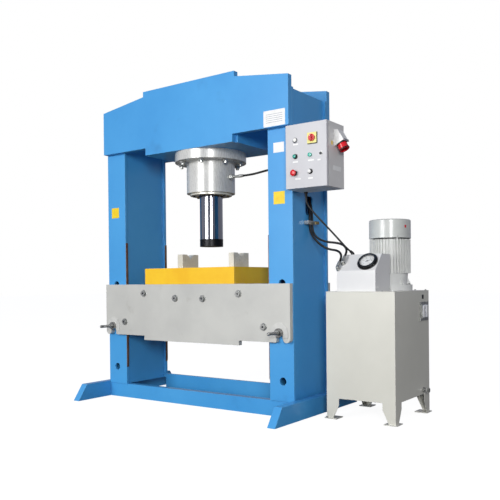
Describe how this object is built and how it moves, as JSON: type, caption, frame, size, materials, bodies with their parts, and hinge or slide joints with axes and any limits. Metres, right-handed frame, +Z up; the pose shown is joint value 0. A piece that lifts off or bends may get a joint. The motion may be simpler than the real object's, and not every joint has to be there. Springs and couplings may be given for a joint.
{
  "type": "hydraulic press",
  "caption": "Blue portal hydraulic press: box uprights, pinned adjustable table with V-blocks, central ram, control box, and a separate oil tank with motor, gauge and hoses.",
  "frame": {"origin": "bottom centre of the whole machine, on the floor", "axes": "+X to the operator's right, towards the power pack; +Y to the back; +Z up"},
  "size_m": [2.472, 1.07, 2.312],
  "materials": {
    "frame_blue": "semi-gloss blue machine paint",
    "bare_steel": "bare flat steel with a thin film of rust and oil",
    "cylinder_grey": "light grey gloss paint",
    "zinc_steel": "zinc plated",
    "chrome_rod": "ground hard chrome",
    "black_steel": "blackened steel",
    "table_grey": "warm light grey machine paint",
    "press_yellow": "golden yellow machine paint",
    "machined_steel": "milled steel, lightly oiled",
    "box_grey": "fine textured light grey powder coat",
    "tank_grey": "light grey enamel",
    "motor_grey": "light grey cast housing paint",
    "cowl_grey": "light grey sheet cover paint",
    "red_plastic": "glossy red",
    "green_plastic": "glossy teal green",
    "white_plastic": "glossy white",
    "yellow_plastic": "satin yellow",
    "black_plastic": "satin black",
    "lamp_lens": "milky lens",
    "hose_rubber": "smooth black hose cover",
    "cable_sheath": "satin black sheath",
    "gauge_black": "black enamel",
    "gauge_glass": "clear flat glass",
    "cast_pump": "as cast"
  },
  "bodies": {
    "press": {"left_upright": "frame_blue", "right_upright": "frame_blue", "crown_front_plate": "frame_blue", "crown_rear_plate": "frame_blue", "crown_inner_plates": "frame_blue", "right_foot": "frame_blue", "left_foot": "frame_blue", "foot_end_plates": "frame_blue", "front_tie": "frame_blue", "rear_tie": "frame_blue", "guide_strips": "bare_steel", "cylinder_tube": "cylinder_grey", "cylinder_flange": "cylinder_grey", "cylinder_gland": "cylinder_grey", "cylinder_head": "cylinder_grey", "flange_studs": "zinc_steel", "control_box": "box_grey", "box_bracket": "frame_blue", "inlet_housing": "white_plastic", "inlet_collar": "red_plastic", "tank": "tank_grey", "tank_lid": "tank_grey", "console_cover": "tank_grey", "gauge_case": "gauge_black", "gauge_glass": "gauge_glass", "motor_body": "motor_grey", "motor_flange": "motor_grey", "fan_cowl": "cowl_grey", "pump": "cast_pump", "level_gauge": "black_plastic", "drain_valve": "zinc_steel", "cable_glands": "black_plastic", "hose_fittings": "zinc_steel", "return_hose": "hose_rubber", "feed_hose": "hose_rubber", "control_cable": "cable_sheath"},
    "ram": {"ram_rod": "chrome_rod", "ram_nose": "black_steel", "nose_screw": "black_steel", "piston": "machined_steel"},
    "table": {"table_front_plate": "table_grey", "table_rear_plate": "table_grey", "notch_doublers": "table_grey", "spacer_tubes": "table_grey", "through_bolts": "zinc_steel", "press_plate": "press_yellow", "v_blocks": "machined_steel"},
    "pin_left": {"left_pin": "bare_steel"},
    "pin_right": {"right_pin": "bare_steel"},
    "door": {"box_door": "box_grey", "switch_plate": "yellow_plastic", "button_bezels": "black_plastic", "pilot_lamps": "lamp_lens"},
    "lock": {"door_lock": "zinc_steel"},
    "main_switch": {"switch_knob": "red_plastic"},
    "start": {"start_button": "green_plastic"},
    "stop": {"stop_button": "red_plastic"},
    "white": {"white_button": "white_plastic"},
    "needle": {"gauge_needle": "black_steel"},
    "rotor": {"motor_rotor": "machined_steel"}
  },
  "joints": [
    {"name": "ram_stroke", "type": "slide", "parent": "press", "child": "ram", "axis": [0, 0, 1], "range_m": [-0.11, 0.29]},
    {"name": "table_lift", "type": "slide", "parent": "press", "child": "table", "axis": [0, 0, 1], "range_m": [0, 0.155]},
    {"name": "pin_left_pull", "type": "slide", "parent": "press", "child": "pin_left", "axis": [0, -1, 0], "range_m": [0, 0.555]},
    {"name": "pin_right_pull", "type": "slide", "parent": "press", "child": "pin_right", "axis": [0, -1, 0], "range_m": [0, 0.555]},
    {"name": "door_hinge", "type": "hinge", "parent": "press", "child": "door", "pos_m": [0.555, -0.282, 1.668], "axis": [0, 0, -1], "range_deg": [0, 110]},
    {"name": "lock_turn", "type": "hinge", "parent": "door", "child": "lock", "pos_m": [0.814, -0.308, 1.667], "axis": [0, 1, 0], "range_deg": [0, 90]},
    {"name": "switch_turn", "type": "hinge", "parent": "door", "child": "main_switch", "pos_m": [0.753, -0.308, 1.77], "axis": [0, 1, 0], "range_deg": [0, 90]},
    {"name": "start_press", "type": "slide", "parent": "door", "child": "start", "axis": [0, 1, 0], "range_m": [0, 0.003], "stiffness_N_per_m": 700, "springref_m": -0.002},
    {"name": "stop_press", "type": "slide", "parent": "door", "child": "stop", "axis": [0, 1, 0], "range_m": [0, 0.005], "stiffness_N_per_m": 700, "springref_m": -0.003},
    {"name": "white_press", "type": "slide", "parent": "door", "child": "white", "axis": [0, 1, 0], "range_m": [0, 0.003], "stiffness_N_per_m": 700, "springref_m": -0.002},
    {"name": "needle_turn", "type": "hinge", "parent": "press", "child": "needle", "pos_m": [0.97, 0.00239, 1.00487], "axis": [0, -0.7447, 0.6674], "range_deg": [-69, 201], "stiffness_Nm_per_rad": 0.002},
    {"name": "rotor_spin", "type": "hinge", "parent": "press", "child": "rotor", "pos_m": [0.976, 0.327, 1.226], "axis": [0, 0, 1], "continuous": true}
  ]
}
